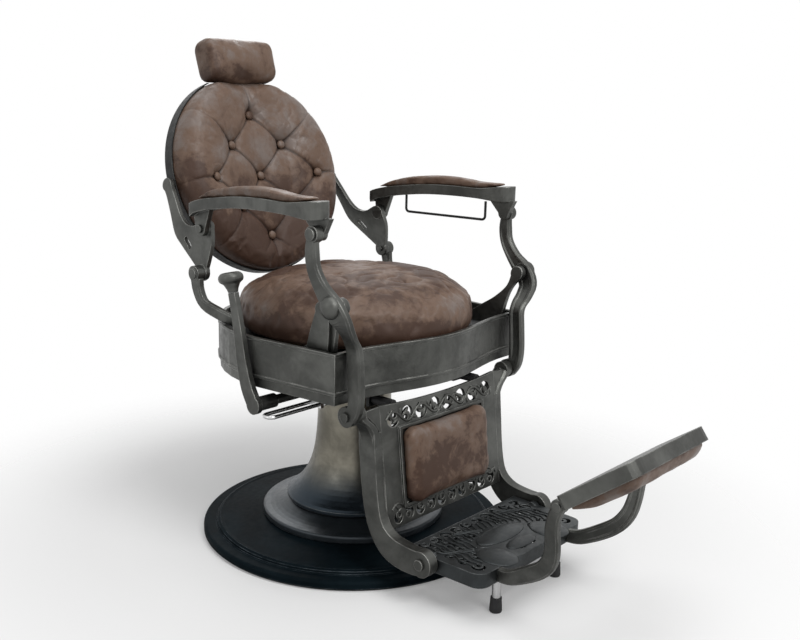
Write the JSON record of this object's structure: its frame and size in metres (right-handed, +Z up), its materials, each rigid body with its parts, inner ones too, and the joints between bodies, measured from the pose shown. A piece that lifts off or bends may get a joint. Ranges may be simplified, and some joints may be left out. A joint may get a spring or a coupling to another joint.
{
  "type": "hydraulic barber chair",
  "caption": "Swivel barber chair with a round tufted back, arched armrests, lifting pump column, reclining back and a linked leg rest with a turn-over foot flap.",
  "frame": {"origin": "centre of the floor disc's underside, on the floor", "axes": "the sitter faces -Y, +X is to the sitter's left, +Z is up along the pump column"},
  "size_m": [0.7099, 1.2955, 1.1241],
  "materials": {
    "base_iron": "near-black satin paint with a blue sheen",
    "column": "satin antique bronze-grey",
    "rubber": "matt black",
    "bronze_bush": "plain turned bearing metal",
    "steel": "bright plated steel",
    "leather": "distressed brown upholstery leather",
    "plywood": "raw plywood",
    "frame_steel": "dark satin paint",
    "casting": "antique pewter with lighter worn edges"
  },
  "bodies": {
    "base": {"base_disc": "base_iron", "floor_ring": "rubber", "step_ring": "base_iron", "column": "column", "pump_cylinder": "frame_steel", "pump_bolts": "steel", "guide_bush": "bronze_bush", "rod_seal": "rubber", "gland_nut": "frame_steel"},
    "lift": {"ram_rod": "steel", "piston_head": "frame_steel", "piston_seal": "rubber"},
    "seat": {"turret_hub": "frame_steel", "swivel_bush": "bronze_bush", "thrust_washer": "bronze_bush", "seat_frame": "frame_steel", "seat_board": "plywood", "seat_skirt": "casting", "seat_cushion": "leather", "ear_right": "casting", "ear_left": "casting", "rear_bracket_right": "casting", "rear_bracket_left": "casting", "lever_bracket": "frame_steel", "stop_bumpers": "rubber"},
    "pump_lever": {"pump_lever": "casting", "lever_knob": "casting"},
    "recline_lever": {"recline_lever": "casting"},
    "brake_loop": {"brake_loop": "steel", "brake_spring": "steel"},
    "back": {"back_yoke_right": "casting", "back_yoke_left": "casting", "back_crossbar": "frame_steel", "back_shell": "frame_steel", "back_cushion": "leather", "headrest_guide": "frame_steel"},
    "headrest": {"headrest_post": "steel", "headrest_plate": "frame_steel", "headrest_pad": "leather"},
    "armrest_right": {"armrest_right": "casting", "armrest_pad_right": "leather"},
    "armrest_left": {"armrest_left": "casting", "armrest_pad_left": "leather", "towel_rail": "frame_steel"},
    "leg_frame": {"arm_post_right": "casting", "arm_post_left": "casting", "calf_frame": "casting", "calf_pad": "leather", "foot_bolts": "steel"},
    "footrest": {"footplate": "casting", "hook_arm_right": "casting", "hook_arm_left": "casting", "support_legs": "steel", "leg_tips": "rubber"},
    "flap": {"flap_tray": "casting", "flap_pad": "leather"}
  },
  "joints": [
    {"name": "lift", "type": "slide", "parent": "base", "child": "lift", "axis": [0, 0, 1], "range_m": [0, 0.15]},
    {"name": "swivel", "type": "hinge", "parent": "lift", "child": "seat", "pos_m": [0, 0, 0.375], "axis": [0, 0, 1], "continuous": true},
    {"name": "recline", "type": "hinge", "parent": "seat", "child": "back", "pos_m": [0, 0.187, 0.611], "axis": [-1, 0, 0], "range_deg": [0, 38]},
    {"name": "leg_lift", "type": "hinge", "parent": "seat", "child": "leg_frame", "pos_m": [0, -0.241, 0.603], "axis": [-1, 0, 0], "range_deg": [0, 28.5]},
    {"name": "arm_tilt_right", "type": "hinge", "parent": "back", "child": "armrest_right", "pos_m": [0, 0.189, 0.706], "axis": [1, 0, 0], "range_deg": [0, 41]},
    {"name": "arm_tilt_left", "type": "hinge", "parent": "back", "child": "armrest_left", "pos_m": [0, 0.189, 0.706], "axis": [1, 0, 0], "range_deg": [0, 41]},
    {"name": "headrest_slide", "type": "slide", "parent": "back", "child": "headrest", "axis": [0, 0.284, 0.9588], "range_m": [0, 0.09]},
    {"name": "footplate_hinge", "type": "hinge", "parent": "leg_frame", "child": "footrest", "pos_m": [0, -0.389, 0.098], "axis": [-1, 0, 0], "range_deg": [0, 45]},
    {"name": "flap_turn", "type": "hinge", "parent": "footrest", "child": "flap", "pos_m": [0, -0.668, 0.292], "axis": [-1, 0, 0], "range_deg": [0, 130]},
    {"name": "pump_stroke", "type": "hinge", "parent": "seat", "child": "pump_lever", "pos_m": [0, -0.04, 0.372], "axis": [1, 0, 0], "range_deg": [-25, 15]},
    {"name": "recline_release", "type": "hinge", "parent": "seat", "child": "recline_lever", "pos_m": [-0.26651, -0.175, 0.46187], "axis": [-0.9945, 0, -0.1045], "range_deg": [0, 25]},
    {"name": "brake_turn", "type": "hinge", "parent": "seat", "child": "brake_loop", "pos_m": [0, -0.092, 0.362], "axis": [1, 0, 0], "range_deg": [0, 20]}
  ],
  "couplings": [
    {"joint": "leg_lift", "follows": "recline", "ratio": 0.7482},
    {"joint": "arm_tilt_right", "follows": "recline", "ratio": 1.0742},
    {"joint": "arm_tilt_left", "follows": "recline", "ratio": 1.0742}
  ]
}
